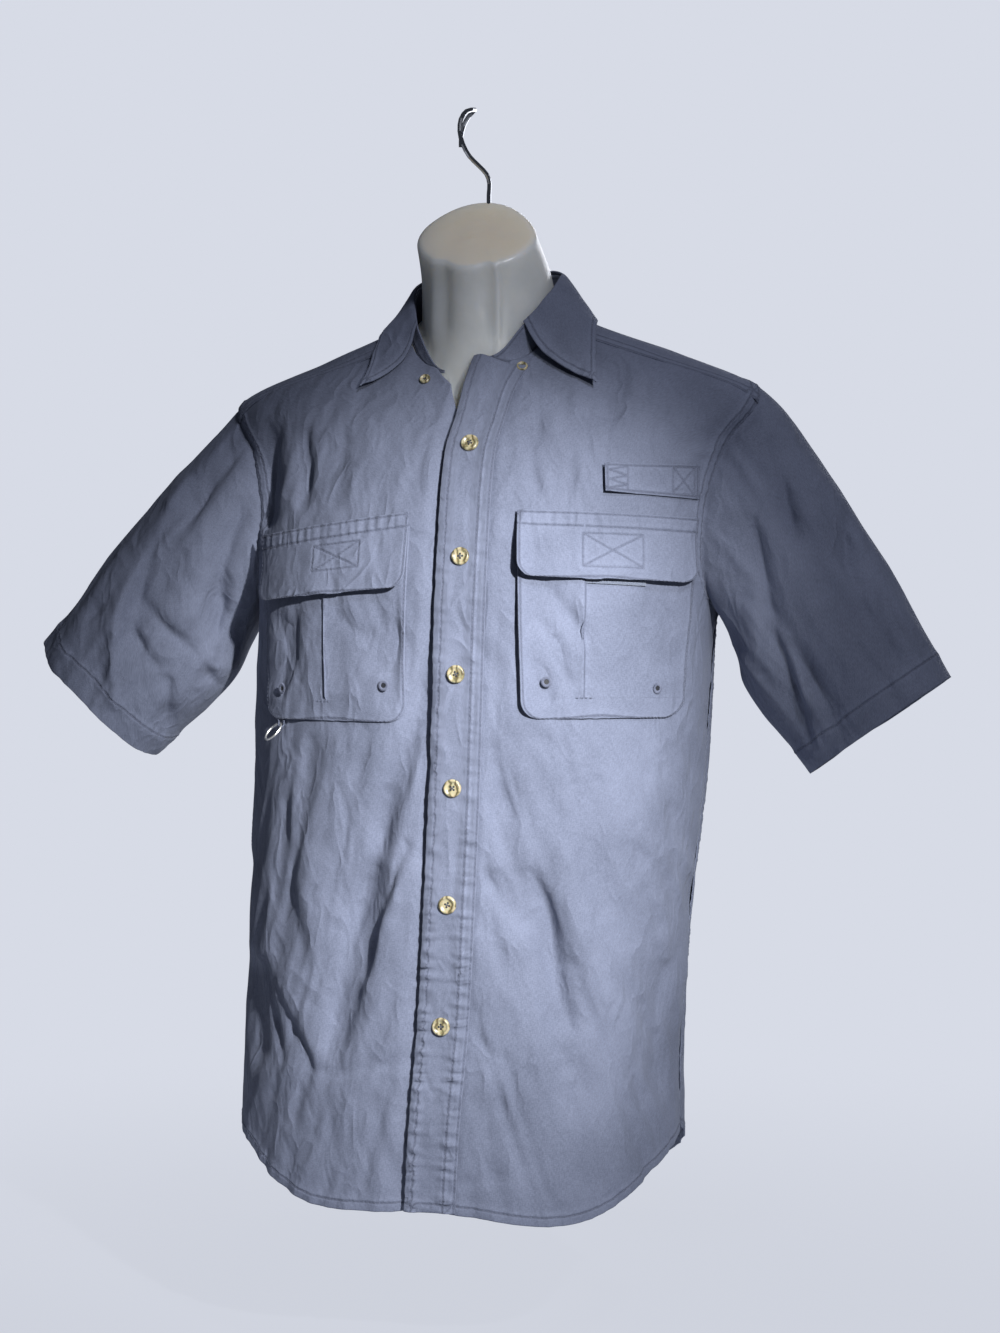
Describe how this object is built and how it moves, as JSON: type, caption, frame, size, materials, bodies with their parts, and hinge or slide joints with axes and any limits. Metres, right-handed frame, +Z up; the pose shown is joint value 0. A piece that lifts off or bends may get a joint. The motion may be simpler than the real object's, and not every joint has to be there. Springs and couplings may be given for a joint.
{
  "type": "fishing shirt on a hanging torso form",
  "caption": "Short-sleeved button-front cotton fishing shirt with patch pockets and flaps, worn by a limbless hanging torso form with a wire hook.",
  "frame": {"origin": "inner crest of the hook, where it hangs on a rail", "axes": "+Z up, the shirt's front faces -Y, +X is the wearer's left"},
  "size_m": [0.769, 0.273, 0.906],
  "materials": {
    "cloth": "washed cotton poplin, matt",
    "horn": "horn look resin, satin",
    "fastener": "soft side of a touch fastener",
    "form": "frosted translucent polyethylene",
    "chrome": "polished wire",
    "nickel": "bright nickel plate"
  },
  "bodies": {
    "shirt_on_form": {"front_left": "cloth", "front_right": "cloth", "placket": "cloth", "back": "cloth", "yoke": "cloth", "sleeve_left": "cloth", "sleeve_right": "cloth", "collar_stand": "cloth", "collar": "cloth", "pocket_left": "cloth", "pocket_right": "cloth", "flap_left": "cloth", "flap_right": "cloth", "rod_tab": "cloth", "ring_loop": "cloth", "eyelet_1": "cloth", "eyelet_2": "cloth", "eyelet_3": "cloth", "eyelet_4": "cloth", "button_1": "horn", "button_2": "horn", "button_3": "horn", "button_4": "horn", "button_5": "horn", "button_6": "horn", "collar_button_left": "horn", "collar_button_right": "horn", "loop_patch_left": "fastener", "torso_form": "form", "form_hook": "chrome"},
    "tool_ring": {"tool_ring": "nickel"}
  },
  "joints": [
    {"name": "ring_swing", "type": "hinge", "parent": "shirt_on_form", "child": "tool_ring", "pos_m": [-0.1397, -0.09424, -0.50938], "axis": [0.4575, -0.8465, -0.2721], "range_deg": [-80, 20]}
  ]
}
